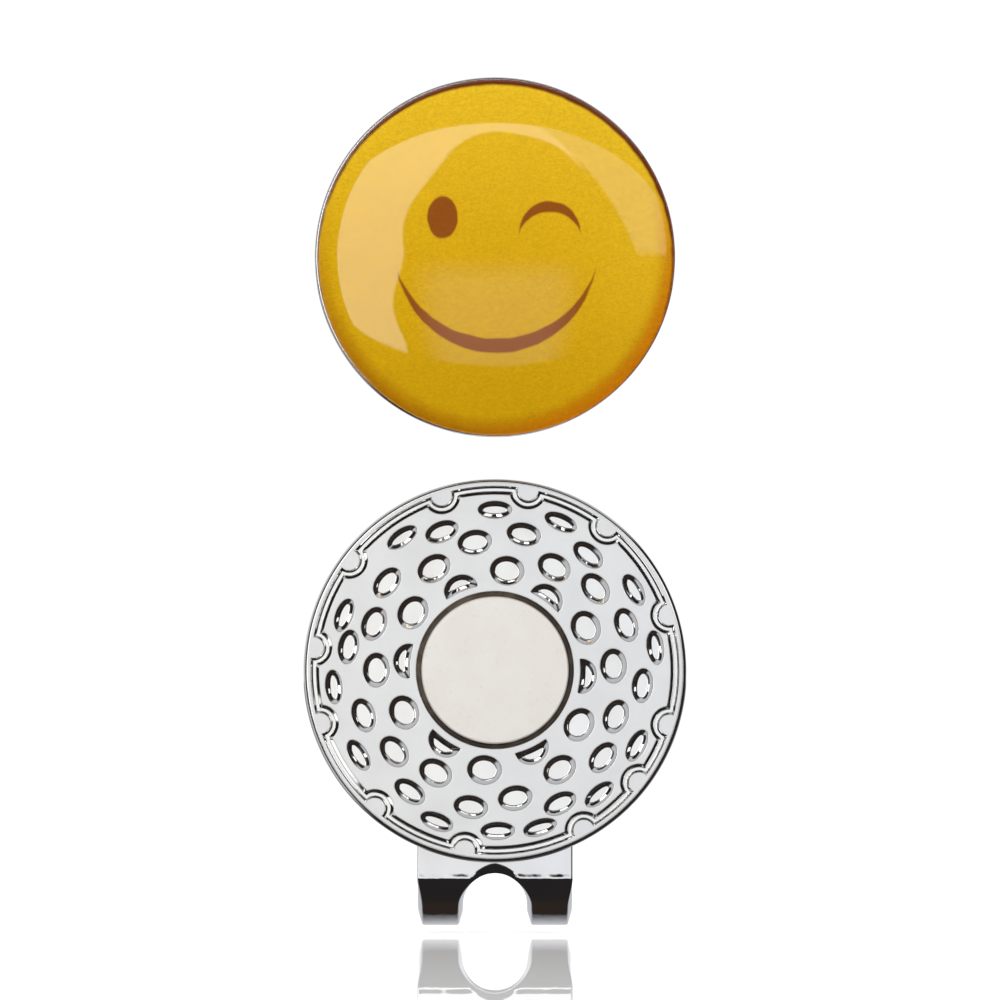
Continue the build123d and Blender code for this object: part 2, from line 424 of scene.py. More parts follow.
class Drawing:
    """A flat drawing in the label's own measure: u to the right, v up, and 1 at the label's edge."""

    SOFT = 0.007
    WOBBLE = 0.012

    def __init__(self, graph, ground):
        self.graph = graph
        wobble_u = (graph.noise(0.9 * MM, 1.0) - 0.5) * self.WOBBLE
        wobble_v = (graph.noise(1.1 * MM, 1.0) - 0.5) * self.WOBBLE
        self.u = (graph.axis("X") - LABEL_X) / LABEL_RADIUS + wobble_u
        self.v = (graph.axis("Z") - LABEL_Z) / LABEL_RADIUS + wobble_v
        self.colour = ground

    def oval(self, centre, radii):
        """How deep a point lies inside an oval."""
        across = (self.u - centre[0]) / radii[0]
        along = (self.v - centre[1]) / radii[1]
        return (1 - self.graph.math("SQRT", across * across + along * along)) * ((radii[0] + radii[1]) / 2)

    def circle(self, centre, radius):
        """How deep a point lies inside a circle."""
        return self.oval(centre, (radius, radius))

    def crescent(self, centre, radius, cut_centre, cut_radius):
        """How deep a point lies inside one circle and outside another."""
        return self.graph.least(self.circle(centre, radius), 0 - self.circle(cut_centre, cut_radius))

    def paint(self, mask, colour, strength=1.0):
        """Lay a colour over what has been drawn."""
        self.colour = self.graph.blend(mask * strength, self.colour, colour)

    def fill(self, depth, colour, strength=1.0, soft=SOFT):
        """Fill a shape."""
        self.paint(self.graph.step(depth, -soft, soft), colour, strength)


EYE_SPACING = 0.30
EYE_LEVEL = 0.22


def draw_ground(drawing, yellow):
    """The yellow ground, with painted light and shade: lighter above and at the right, deeper below, and a
    painted shade of deeper orange near the lower right rim.
    """
    graph = drawing.graph
    light = tint(yellow, 1.12, 1.20, 2.4)
    # Painted light and shade: lighter above and at the right, deeper below.
    drawing.paint(graph.step(drawing.v, -0.1, 0.95), light)
    drawing.paint(graph.step(drawing.u, 0.2, 0.9), light, 0.5)
    drawing.paint(1 - graph.step(drawing.v, -1.0, 0.1), tint(yellow, 0.86, 0.84, 0.5))
    # Painted shade near the rim: deep orange-brown along the lower half, and deeper orange at the lower
    # right.
    side = graph.step(0.8 * drawing.u - 0.6 * drawing.v, 0.35, 0.95)
    rim = 1 - graph.step(drawing.circle((0, 0), 1.0), 0.01, 0.13)
    drawing.paint(rim * (1 - graph.step(drawing.v, -0.8, 0.6)), (0.42, 0.15, 0.002), 0.8)
    drawing.paint(rim * side, (0.68, 0.23, 0.004), 0.85)


def draw_face(drawing, brown):
    """A plain emoticon: an open eye as an oval, a closed one as an arc, and a smile as a crescent."""
    drawing.fill(drawing.oval((-EYE_SPACING, EYE_LEVEL), (0.085, 0.12)), brown)
    lid, cut = (EYE_SPACING, EYE_LEVEL - 0.08), (EYE_SPACING, EYE_LEVEL - 0.155)
    drawing.fill(drawing.crescent(lid, 0.17, cut, 0.185), brown)
    drawing.fill(drawing.crescent((0, 0.02), 0.56, (0, 0.13), 0.59), brown)


def label_print(settings):
    """The printed label: an emoticon on yellow inside a brown edge, with a soft print grain."""
    graph = material_graph("label_print")
    drawing = Drawing(graph, tuple(settings.yellow))
    draw_ground(drawing, tuple(settings.yellow))
    draw_face(drawing, tuple(settings.outline))
    drawing.fill(0 - drawing.circle((-0.006, -0.02), 0.985), (0.16, 0.035, 0.01), soft=0.009)

    dots = graph.step(graph.noise(0.10 * MM, 1.0), 0.25, 0.75)
    weave = graph.step(graph.noise(0.30 * MM, 2.0, stretch=(1, 1, 2.4)), 0.3, 0.7)
    grain = 0.885 + 0.14 * dots + 0.09 * weave
    grey = graph.node("ShaderNodeCombineColor", {}, {0: grain, 1: grain, 2: grain})
    multiply = {"data_type": "RGBA", "blend_type": "MULTIPLY"}
    printed = graph.node("ShaderNodeMix", multiply, {0: 1.0, 6: drawing.colour, 7: grey}, output=2)
    return graph.surface(Base_Color=printed, Roughness=0.55 + 0.1 * dots, Specular_IOR_Level=0.0)


# ---------------------------------------------------------------- mesh work
def centroid(coords, corners):
    """The middle of a face in the plan."""
    return sum((coords[k] for k in corners), Vector((0, 0))) / len(corners)


def encloses(outline, point):
    """Whether a closed outline goes round a point."""
    inside = False
    for (x1, y1), (x2, y2) in zip(outline, outline[1:] + outline[:1]):
        if (y1 > point.y) != (y2 > point.y) and point.x < (x2 - x1) * (point.y - y1) / (y2 - y1) + x1:
            inside = not inside
    return inside


class Shell:
    """The points and faces of one closed piece, drawn in its plan and placed in the frame.

    place(across, along, height) gives a point in metres and the direction in which height grows there.
    Points on flat or evenly curved faces are pinned to that direction, so that they reflect cleanly.
    """

    def __init__(self, place):
        self.place = place
        self.points = []
        self.plan = []
        self.pinned = {}
        self.faces = []
        self.caps = []

    def row(self, outline, height, pin=0):
        """Add a row of points. Height and pin are one for all, or one each: pin is 1 on top, -1 below."""
        heights = height if isinstance(height, list) else [height] * len(outline)
        pins = pin if isinstance(pin, list) else [pin] * len(outline)
        first = len(self.points)
        for (across, along), level, side in zip(outline, heights, pins):
            point, up = self.place(across, along, level)
            if side:
                self.pinned[len(self.points)] = up * side
            self.points.append(point)
            self.plan.append((across, along))
        return list(range(first, len(self.points)))

    def bridge(self, first, second, closed=True):
        """Join two equally long rows by quads that face to the right of the rows' direction."""
        count = len(first)
        for k in range(count if closed else count - 1):
            after = (k + 1) % count
            self.faces.append((first[k], second[k], second[after], first[after]))

    def cap(self, ring):
        """Close an opening with one flat face."""
        self.caps.append(len(self.faces))
        self.faces.append(tuple(ring))

    def fan(self, ring, centre, facing=1):
        """Close a ring round a centre point with triangles."""
        count = len(ring)
        for k in range(count):
            corners = (ring[k], ring[(k + 1) % count], centre)
            self.faces.append(corners if facing > 0 else corners[::-1])

    def fill(self, loops, facing=1, ties=()):
        """Fill the face inside the first loop and outside the others, keeping any ties as edges."""
        used = [index for loop in loops for index in loop]
        number = {index: k for k, index in enumerate(used)}
        hole_of = {index: hole for hole, loop in enumerate(loops[1:], 1) for index in loop}
        edges = [(number[a], number[b]) for a, b in ties]
        for loop in loops:
            edges += [(number[a], number[b]) for a, b in zip(loop, loop[1:] + loop[:1])]
        coords = [Vector(self.plan[index]) for index in used]
        made = delaunay_2d_cdt(coords, edges, [], 1, 1e-6)
        origin = [used[source[0]] for source in made[3]]
        for triangle in made[2]:
            corners = tuple(origin[k] for k in triangle)
            holes = {hole_of.get(index) for index in corners}
            hole = holes.pop() if len(holes) == 1 else None
            if hole and encloses([self.plan[index] for index in loops[hole]], centroid(made[0], triangle)):
                continue
            self.faces.append(corners if facing > 0 else corners[::-1])

    def build(self, name, material, body, replaced=(), sharp=40):
        """Make the object, give it its normals and material, and hand it to a body of the frame."""
        mesh = bpy.data.meshes.new(name)
        mesh.from_pydata(self.points, [], self.faces)
        mesh.validate()
        mesh.update()
        mesh.materials.append(material)
        mesh.polygons.foreach_set("use_smooth", [True] * len(mesh.polygons))
        mesh.set_sharp_from_angle(angle=radians(sharp))
        flat_faces = set(self.caps)
        corner_normals = [corner.vector.copy() for corner in mesh.corner_normals]
        for polygon in mesh.polygons:
            for loop_index in polygon.loop_indices:
                vertex = mesh.loops[loop_index].vertex_index
                if polygon.index in flat_faces:
                    corner_normals[loop_index] = polygon.normal.copy()
                elif vertex in self.pinned:
                    corner_normals[loop_index] = self.pinned[vertex]
        mesh.normals_split_custom_set(corner_normals)
        piece = bpy.data.objects.new(name, mesh)
        bpy.context.scene.collection.objects.link(piece)
        if body:
            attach(piece, body)
        if replaced:
            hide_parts(*replaced)
        return piece


def disc_place(centre_x, centre_z, back_y):
    """Placing for a round piece that faces the viewer: its plan is X and Z, and height grows towards -Y."""

    def place(across, along, height):
        point = Vector((centre_x + across * MM, back_y - height * MM, centre_z + along * MM))
        return point, Vector((0, -1, 0))

    return place


def circle(radius, count, start=0.0):
    """Points round a circle, anticlockwise as the viewer sees it."""
    return [
        (radius * cos(start + 2 * pi * k / count), radius * sin(start + 2 * pi * k / count))
        for k in range(count)
    ]


def arc_steps(start, end, count):
    """Evenly spaced values from start to end, both included."""
    return [start + (end - start) * k / (count - 1) for k in range(count)]


def lathe(shell, profile, count):
    """Turn a profile of (radius, height, pin) round the plan's centre, from one pole to the other."""
    rings = []
    for radius, height, pin in profile:
        if radius == 0:
            rings.append(shell.row([(0, 0)], height, pin))
        else:
            rings.append(shell.row(circle(radius, count), height, pin))
    for upper, lower in zip(rings, rings[1:]):
        if len(upper) == 1:
            shell.fan(lower, upper[0])
        elif len(lower) == 1:
            shell.fan(upper, lower[0], facing=-1)
        else:
            shell.bridge(upper, lower)
    return rings


# ---------------------------------------------------------------- disc of the clip
BALL_RADIUS = 13.1
COLLAR_RADIUS = 5.85
POCKET_RADIUS = (GLUE_HIGH.x - GLUE_LOW.x) / 2 / MM
CHANNEL_RADIUS = 12.78
CHANNEL_WIDTH = 0.67
TAB_RADIUS = 0.69
TAB_CIRCLE = 12.65
RIM_ROUND = 0.35
BACK_BREAK = 0.15
POCKET_LIP = 0.05
DIMPLE_LIP = 0.15
DIMPLE_FOOT = 0.13
POCKET_POINTS = 144
EDGE_POINTS = 240


def wall_profile(lip, slope, depth, foot, steps):
    """A pocket's wall from its mouth to its floor: (inset, depth) with a round lip and a round foot."""
    lip_drop = lip * (1 - cos(slope))
    foot_rise = foot * (1 - cos(slope))
    run = max(0.0, (depth - lip_drop - foot_rise) / tan(slope))
    lip_end = lip * sin(slope)
    profile = [(lip * sin(turn), lip * (1 - cos(turn))) for turn in arc_steps(0, slope, steps)]
    for turn in arc_steps(slope, 0, steps):
        inset = lip_end + run + foot * (sin(slope) - sin(turn))
        profile.append((inset, depth - foot * (1 - cos(turn))))
    return profile


def dimple_outline(ring_radius, angle, half_length, inset, count):
    """A dimple's outline at an inset: an oval, cut short by the plain collar round the magnet."""
    turn = radians(angle)
    half_width = half_length * sqrt(1 - (ring_radius / BALL_RADIUS) ** 2)
    inner = max(ring_radius - half_width, COLLAR_RADIUS)
    heart = (inner + ring_radius + half_width) / 2
    wide = half_width - inset
    tall = half_length - inset
    collar = COLLAR_RADIUS + inset
    outline = []
    for k in range(count):
        bearing = 2 * pi * k / count
        out, side = cos(bearing), sin(bearing)
        shift = heart - ring_radius
        square = (out / wide) ** 2 + (side / tall) ** 2
        middle = shift * out / wide**2
        reach = (-middle + sqrt(middle**2 - square * ((shift / wide) ** 2 - 1))) / square
        inside = (heart * out) ** 2 - heart**2 + collar**2
        if out < 0 and inside > 0:
            reach = min(reach, -heart * out - sqrt(inside))
        along, across = heart + reach * out, reach * side
        outline.append((
            along * cos(turn) - across * sin(turn),
            along * sin(turn) + across * cos(turn),
        ))
    return outline


def channel_outline(inset, tab_steps, rim_steps):
    """The rim's inner edge at an inset: a circle that goes round each half-round tab."""
    rim = CHANNEL_RADIUS - inset
    tab = TAB_RADIUS + inset
    spread = acos((rim**2 + TAB_CIRCLE**2 - tab**2) / (2 * rim * TAB_CIRCLE))
    meet_x = rim * cos(spread) - TAB_CIRCLE
    reach = pi - atan2(rim * sin(spread), meet_x)
    outline = []
    for k, angle in enumerate(TAB_ANGLES):
        turn = radians(angle)
        following = radians(TAB_ANGLES[(k + 1) % len(TAB_ANGLES)])
        if following < turn:
            following += 2 * pi
        for sweep in arc_steps(-reach, reach, tab_steps):
            bearing = turn + pi - sweep
            outline.append((
                TAB_CIRCLE * cos(turn) + tab * cos(bearing),
                TAB_CIRCLE * sin(turn) + tab * sin(bearing),
            ))
        for bearing in arc_steps(turn + spread, following - spread, rim_steps)[1:-1]:
            outline.append((rim * cos(bearing), rim * sin(bearing)))
    return outline


def cut_dimples(shell, settings):
    """Each dimple as rows of points that follow its outline down. Gives their mouths."""
    depth = settings.dimple_depth / MM
    half_length = settings.dimple_length / MM / 2
    wall = wall_profile(DIMPLE_LIP, settings.wall_slope, depth, DIMPLE_FOOT, 7)
    mouths = []
    for ring_radius, angles in DIMPLE_RINGS:
        for angle in angles:
            rows = []
            for inset, drop in wall:
                outline = dimple_outline(ring_radius, angle, half_length, inset, 48)
                edge = inset in (wall[0][0], wall[-1][0])
                rows.append(shell.row(outline, FACE_THICKNESS - drop, pin=1 if edge else 0))
            for upper, lower in zip(rows, rows[1:]):
                shell.bridge(lower, upper)
            shell.fill([rows[-1]])
            mouths.append(rows[0])
    return mouths


def cut_channel(shell, settings):
    """The channel's section: down from the rim's edge, over its floor and up to the field."""
    depth = settings.channel_depth / MM
    outer_wall = wall_profile(0.05, radians(62), depth, 0.05, 5)
    inner_wall = wall_profile(0.08, radians(48), depth, 0.06, 5)
    section = outer_wall + [(CHANNEL_WIDTH - inset, drop) for inset, drop in reversed(inner_wall)]
    rows = []
    for inset, drop in section:
        level = inset in (section[0][0], section[-1][0]) or drop == depth
        outline = channel_outline(inset, 19, 16)
        rows.append(shell.row(outline, FACE_THICKNESS - drop, pin=1 if level else 0))
    for outer, inner in zip(rows, rows[1:]):
        shell.bridge(inner, outer)
    return rows[0], rows[-1]


def cut_pocket(shell):
    """The pocket for the magnet, with a small round lip. Gives its mouth."""
    mouth = POCKET_RADIUS + POCKET_LIP
    rows = [shell.row(circle(mouth, POCKET_POINTS), FACE_THICKNESS, pin=1)]
    for turn in arc_steps(0, pi / 2, 5)[1:]:
        outline = circle(mouth - POCKET_LIP * sin(turn), POCKET_POINTS)
        rows.append(shell.row(outline, FACE_THICKNESS - POCKET_LIP * (1 - cos(turn))))
    rows.append(shell.row(circle(POCKET_RADIUS, POCKET_POINTS), (PLATE_HIGH.y - GLUE_HIGH.y) / MM))
    for upper, lower in zip(rows, rows[1:]):
        shell.bridge(lower, upper)
    shell.fill([rows[-1]])
    return rows[0]


def round_rim(shell):
    """The disc's round edge, from the flat rim to the back. Gives its first and last rows."""
    rows = [shell.row(circle(FACE_RADIUS - RIM_ROUND, EDGE_POINTS), FACE_THICKNESS, pin=1)]
    for turn in arc_steps(0, pi / 2, 9)[1:]:
        outline = circle(FACE_RADIUS - RIM_ROUND * (1 - sin(turn)), EDGE_POINTS)
        rows.append(shell.row(outline, FACE_THICKNESS - RIM_ROUND * (1 - cos(turn))))
    for turn in arc_steps(0, pi / 2, 5):
        outline = circle(FACE_RADIUS - BACK_BREAK * (1 - cos(turn)), EDGE_POINTS)
        last = turn == pi / 2
        rows.append(shell.row(outline, BACK_BREAK * (1 - sin(turn)), pin=-1 if last else 0))
    for upper, lower in zip(rows, rows[1:]):
        shell.bridge(upper, lower)
    return rows[0], rows[-1]


def build_face_plate(settings, material):
    """The disc: its hollows and its edge, joined by flat faces."""
    shell = Shell(disc_place(0, 0, PLATE_HIGH.y))
    dimples = cut_dimples(shell, settings)
    rim_edge, field_edge = cut_channel(shell, settings)
    pocket = cut_pocket(shell)
    shell.fill([field_edge, pocket] + dimples)
    rim, back = round_rim(shell)
    shell.fill([rim, rim_edge])
    shell.fill([back], facing=-1)
    return shell.build("clip_disc", material, "hat_clip", ["face_plate"], sharp=75)


# ---------------------------------------------------------------- magnet and its glue
MAGNET_RADIUS = (MAGNET_HIGH.x - MAGNET_LOW.x) / 2 / MM
MAGNET_ROUND = 0.12
GLUE_CREEP = 0.12


def round_disc_profile(radius, thickness, edge, steps):
    """The section of a flat round disc with rounded edges, from its top's middle to its bottom's."""
    profile = [(0, thickness, 1)]
    for turn in arc_steps(0, pi / 2, steps):
        reach = radius - edge * (1 - sin(turn))
        profile.append((reach, thickness - edge * (1 - cos(turn)), 0 if turn else 1))
    for turn in arc_steps(pi / 2, 0, steps):
        reach = radius - edge * (1 - sin(turn))
        profile.append((reach, edge * (1 - cos(turn)), 0 if turn else -1))
    return profile + [(0, 0, -1)]


def build_magnet(material):
    """The round magnet, with its edge tumbled smooth."""
    shell = Shell(disc_place(0, 0, MAGNET_HIGH.y))
    thickness = (MAGNET_HIGH.y - MAGNET_LOW.y) / MM
    lathe(shell, round_disc_profile(MAGNET_RADIUS, thickness, MAGNET_ROUND, 6), 144)
    return shell.build("magnet_disc", material, "hat_clip", ["magnet"])


def build_glue(material):
    """The cup of glue that holds the magnet: its ring has crept up the pocket's wall unevenly."""
    shell = Shell(disc_place(0, 0, GLUE_HIGH.y))
    film = (GLUE_HIGH.y - MAGNET_HIGH.y) / MM
    level = (GLUE_HIGH.y - GLUE_LOW.y) / MM
    count = 144
    gap = POCKET_RADIUS - MAGNET_RADIUS

    def ring(radius, height, creep):
        heights = []
        for across, along in circle(1, count):
            swell = noise.noise(Vector((across * 2.1, along * 2.1, 4.0 + radius)))
            upper_left = max(0.0, (along - across) / sqrt(2))
            heights.append(height - creep * (0.5 + 0.5 * swell) + GLUE_CREEP * upper_left)
        return shell.row(circle(radius, count), heights)

    inner_pole = shell.row([(0, 0)], film, pin=1)
    rings = [
        shell.row(circle(MAGNET_RADIUS, count), film, pin=1),
        ring(MAGNET_RADIUS, level, 0.1),
        ring(MAGNET_RADIUS + 0.3 * gap, level - 0.05, 0.12),
        ring(MAGNET_RADIUS + 0.7 * gap, level - 0.04, 0.12),
        ring(POCKET_RADIUS, level, 0.05),
        shell.row(circle(POCKET_RADIUS, count), 0, pin=-1),
    ]
    outer_pole = shell.row([(0, 0)], 0, pin=-1)
    shell.fan(rings[0], inner_pole[0])
    for upper, lower in zip(rings, rings[1:]):
        shell.bridge(upper, lower)
    shell.fan(rings[-1], outer_pole[0], facing=-1)
    return shell.build("magnet_glue_ring", material, "hat_clip", ["magnet_glue"])


# ---------------------------------------------------------------- bent strip of the clip
LEAF_CORNER = 1.2
BLADE_CORNER = 3.2
PINCH_GAP = 0.6
PINCH_RADIUS = 2.6
LIP_TURN = radians(34)
LIP_LENGTH = 1.8
ARCH_RADIUS = 2.2
ARCH_TOP = 0.25
ARCH_STEPS = 10
ROLL_START = -1.3


def strip_stretches(lean):
    """The strip's middle line from the start of its bend, as (length, curvature) stretches."""
    axis_y = BEND_OUTER_RADIUS - STRIP_THICKNESS
    pinch_y = PINCH_GAP + STRIP_THICKNESS / 2 + PINCH_RADIUS
    run = (axis_y - pinch_y + (BEND_MIDDLE_RADIUS + PINCH_RADIUS) * cos(lean)) / sin(lean)
    return [
        (BEND_MIDDLE_RADIUS * (pi + lean), 1 / BEND_MIDDLE_RADIUS),
        (run, 0),
        (PINCH_RADIUS * (lean + LIP_TURN), -1 / PINCH_RADIUS),
        (LIP_LENGTH, 0),
    ]


def strip_place(stretches):
    """Placing for the strip: along goes up the leaf and back round the bend, height from the outer skin."""

    def place(across, along, height):
        y, z, turn = -STRIP_THICKNESS / 2, BEND_LEVEL + max(along, 0.0), 0.0
        left = max(-along, 0.0)
        for length, curve in stretches:
            step = min(left, length)
            left -= step
            if curve:
                after = turn + step * curve
                y += (cos(turn) - cos(after)) / curve
                z += (sin(turn) - sin(after)) / curve
                turn = after
            else:
                y += step * sin(turn)
                z -= step * cos(turn)
        up = Vector((0, -cos(turn), -sin(turn)))
        return (Vector((across, y, z)) + up * (height + STRIP_THICKNESS / 2)) * MM, up

    return place


def edge_profile(edge, steps=6):
    """A strip's edge from its outer skin to its inner skin: (inset, height, pin)."""
    profile = [
        (edge * (1 - sin(turn)), -edge * (1 - cos(turn)), 0 if turn else 1)
        for turn in arc_steps(0, pi / 2, steps)
    ]
    return profile + [(inset, -STRIP_THICKNESS - height, -pin) for inset, height, pin in reversed(profile)]


def arch_half_width(level, inset):
    """Half the width of the arch between the legs, at a level above the start of the bend."""
    radius = ARCH_RADIUS + inset
    rise = max(0.0, level - ARCH_TOP + ARCH_RADIUS)
    return sqrt(max(0.0, radius**2 - rise**2))


def arch_roll(level, inset, height):
    """The inset at the arch, where the punch has drawn the outer skin down over a wider edge at the crown."""
    if height < -STRIP_THICKNESS / 2:
        return inset
    share = min(1.0, max(0.0, (level - ROLL_START) / (ARCH_TOP - ROLL_START)))
    return inset * (1 + 6 * share**5)


def arch_side(inset, height):
    """Points up one side of the arch, from the seam to its crown."""
    spring = ARCH_TOP - ARCH_RADIUS
    side = []
    for k in range(ARCH_STEPS + 1):
        rolled = arch_roll(ARCH_TOP * k / ARCH_STEPS, inset, height)
        radius = ARCH_RADIUS + rolled
        first = asin(-spring / radius)
        turn = first + (pi / 2 - first) * k / ARCH_STEPS
        side.append((radius * cos(turn), spring + radius * sin(turn)))
    side[-1] = (0.0, side[-1][1])
    return side


def plate_edges(length, corner, inset, height, stations):
    """The free edges of a plate that stands on two legs: round its outside, and over the arch."""
    half = STRIP_HALF_WIDTH - inset
    arch = arch_side(inset, height)
    crown = arch[-1][1]
    right = [(half, crown * k / ARCH_STEPS) for k in range(ARCH_STEPS + 1)]
    right += [(half, level) for level in arc_steps(crown, length - corner, stations)[1:-1]]
    for turn in arc_steps(0, pi / 2, 17):
        reach = corner - inset
        right.append((STRIP_HALF_WIDTH - corner + reach * cos(turn), length - corner + reach * sin(turn)))
    outside = right + [(-across, along) for across, along in reversed(right)]
    over = [(-across, along) for across, along in arch] + arch[-2::-1]
    return outside, over


def build_plate(name, place, seam, turned, length, corner, stations, edge, material, body, node):
    """A flat or bent plate of the strip: it starts at the seam with its two legs and has round corners."""
    shell = Shell(place)
    way = -1 if turned else 1

    def row(outline, height, pin):
        return shell.row([(way * across, seam + way * along) for across, along in outline], height, pin)

    outsides, arches = [], []
    for inset, height, pin in edge_profile(edge):
        outside, over = plate_edges(length, corner, inset, height, stations)
        outsides.append(row(outside, height, pin))
        arches.append(row(over, height, pin))
    for rows in (outsides, arches):
        for upper, lower in zip(rows, rows[1:]):
            shell.bridge(upper, lower, closed=False)
    for k, facing in ((0, 1), (-1, -1)):
        outside, over = outsides[k], arches[k]
        last = len(outside) - 1
        ties = [(outside[i], over[-1 - i]) for i in range(1, ARCH_STEPS + 1)]
        ties += [(outside[last - i], over[i]) for i in range(1, ARCH_STEPS + 1)]
        ties += [(outside[i], outside[last - i]) for i in range(ARCH_STEPS + 1, len(outside) // 2 - 1)]
        shell.fill([outside + over], facing, ties)
    right = [outside[0] for outside in outsides] + [over[-1] for over in reversed(arches)]
    left = [outside[-1] for outside in outsides] + [over[0] for over in reversed(arches)]
    shell.cap(right[::-1])
    shell.cap(left)
    return shell.build(name, material, body, [node])


def build_bend(settings, place, material):
    """The two legs, swept round the bend: their outer skin is drawn in, which slants their edges."""
    shell = Shell(place)
    squeeze = settings.bend_squeeze / MM
    profile = edge_profile(settings.edge_round / MM)
    for side in (1, -1):
        rings = []
        for turn in arc_steps(0, pi, 61):
            ramp = min(1.0, min(turn, pi - turn) / radians(40))
            drawn = squeeze * ramp**2 * (3 - 2 * ramp)
            outer, inner = [], []
            for inset, height, pin in profile:
                pull = drawn * (1 + height / STRIP_THICKNESS)
                level = -(BEND_OUTER_RADIUS + height) * sin(turn)
                outer.append((STRIP_HALF_WIDTH - inset - pull, height, pin))
                rolled = arch_roll(-BEND_OUTER_RADIUS * sin(turn), inset, height)
                inner.append((arch_half_width(level, rolled) + pull, height, pin))
            section = outer + inner[::-1]
            along = -BEND_MIDDLE_RADIUS * turn
            rings.append(shell.row(
                [(side * across, along) for across, _, _ in section],
                [height for _, height, _ in section],
                [pin for _, _, pin in section],
            ))
        if side < 0:
            rings = [ring[::-1] for ring in rings]
        for first, second in zip(rings, rings[1:]):
            shell.bridge(first, second)
        shell.cap(rings[0])
        shell.cap(rings[-1][::-1])
    return shell.build("clip_bend", material, None)


def build_strip(settings, material):
    """The strip in three pieces: the leaf behind the disc, the springy bend, and the blade."""
    stretches = strip_stretches(settings.tongue_lean)
    place = strip_place(stretches)
    edge = settings.edge_round / MM
    seam = -BEND_MIDDLE_RADIUS * pi
    blade_length = sum(length for length, curve in stretches) + seam
    build_plate(
        "clip_leaf", place, 0.0, False, LEAF_LENGTH, LEAF_CORNER, 4, edge, material, "hat_clip", "clip_neck"
    )
    bend = build_bend(settings, place, material)
    build_plate(
        "clip_blade", place, seam, True, blade_length, BLADE_CORNER, 60,
        edge, material, "tongue", "clip_tongue"
    )
    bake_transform(bend)
    return bend


# ---------------------------------------------------------------- ball marker
MARKER_X = (COIN_LOW.x + COIN_HIGH.x) / 2
MARKER_Z = (COIN_LOW.z + COIN_HIGH.z) / 2
LABEL_X = (LABEL_LOW.x + LABEL_HIGH.x) / 2
LABEL_Z = (LABEL_LOW.z + LABEL_HIGH.z) / 2
LABEL_RADIUS = (LABEL_HIGH.x - LABEL_LOW.x) / 2
COIN_ROUND = 0.18
DOME_EDGE = 0.2
DOME_SINK = 0.03


def build_coin(material):
    """The marker's steel coin."""
    shell = Shell(disc_place(MARKER_X, MARKER_Z, COIN_HIGH.y))
    radius = (COIN_HIGH.x - COIN_LOW.x) / 2 / MM
    thickness = (COIN_HIGH.y - COIN_LOW.y) / MM
    lathe(shell, round_disc_profile(radius, thickness, COIN_ROUND, 7), 240)
    return shell.build("marker_disc", material, "marker", ["marker_coin"])


def build_label(material):
    """The printed paper disc."""
    shell = Shell(disc_place(LABEL_X, LABEL_Z, LABEL_HIGH.y))
    thickness = (LABEL_HIGH.y - LABEL_LOW.y) / MM
    lathe(shell, round_disc_profile(LABEL_RADIUS / MM, thickness, 0.02, 3), 240)
    return shell.build("label_disc", material, "marker", ["printed_label"], sharp=60)


def build_dome(material):
    """The resin dome, thickest in the middle and steepest at its edge; its foot is sunk into the label."""
    dome_x = (DOME_LOW.x + DOME_HIGH.x) / 2
    dome_z = (DOME_LOW.z + DOME_HIGH.z) / 2
    shell = Shell(disc_place(dome_x, dome_z, DOME_HIGH.y))
    radius = (DOME_HIGH.x - DOME_LOW.x) / 2 / MM
    height = (DOME_HIGH.y - DOME_LOW.y) / MM
    profile = [(0, height, 1)]
    for turn in arc_steps(0, pi / 2, 72)[1:]:
        profile.append((radius * sin(turn), DOME_EDGE + (height - DOME_EDGE) * cos(turn), 0))
    profile += [(radius, -DOME_SINK, 0), (0, -DOME_SINK, -1)]
    lathe(shell, profile, 240)
    return shell.build("clear_dome", material, "marker", ["resin_dome"])


# ---------------------------------------------------------------- studio
MIRROR_REACH = 140 * MM
FLOOR_REACH = 4.0
AMBIENT = (1.45, 1.45, 1.45)
BACKDROP = (1.05, 1.05, 1.05)


def studio_room(graph, x, y, z):
    """What shiny surfaces see of the room: light above and at the left, dark to the right and in front."""
    tone = graph.blend(
        graph.step(0.7 * z - 0.7 * x, -0.10, 0.14), (0.030, 0.022, 0.018), (0.60, 0.60, 0.62)
    )
    under = graph.blend(graph.step(y, 0.15, 1.0), (0.10, 0.10, 0.11), (0.62, 0.63, 0.66))
    rear = graph.blend(graph.step(z, -0.06, -0.01), under, (1.1, 1.1, 1.1))
    tone = graph.blend(graph.step(y, 0.15, 0.3), tone, rear)
    return graph.blend(1 - graph.step(y, -0.62, -0.38), tone, (0.020, 0.018, 0.018))


def studio_card(graph, tone, facing, x, z):
    """The card that the flat faces see."""
    card = graph.blend(graph.step(x, -0.06, 0.06), (1.04, 1.03, 1.01), (0.92, 0.945, 0.985))
    across = graph.band(x, -0.085, 0.085, 0.03)
    upright = graph.step(z, -0.057, -0.047) * (1 - graph.step(z, 0.06, 0.10))
    return graph.blend(facing * across * upright, tone, card)


def studio_arch(graph, tone, facing, x, z):
    """An arch of light: broad at the left, narrow over the top, and a fainter one at the right."""
    rise = z - 0.096
    reach = graph.math("SQRT", x * x + rise * rise)
    sag = graph.math("MAXIMUM", 0.10 - z, 0.0)
    wave = 0.006 * graph.math("SINE", 55 * z)
    inner = 0.105 + 0.068 * graph.step(x, -0.16, 0.0) + 0.6 * sag
    lid = 1 - graph.step(z, 0.294, 0.304)
    left = graph.step(reach - inner - wave, -0.004, 0.006) * (1 - graph.step(reach, 0.335, 0.345))
    left = left * lid * graph.step(z, -0.06, -0.045) * (1 - graph.step(x, 0.10, 0.13))
    tone = graph.blend(facing * left, tone, (3.8, 3.75, 3.65))
    right = graph.step(x + 0.8 * z, 0.30, 0.315) * (1 - graph.step(x, 0.50, 0.55))
    right = right * graph.step(z, 0.09, 0.11)
    return graph.blend(facing * right * lid, tone, (1.8, 1.8, 1.8))


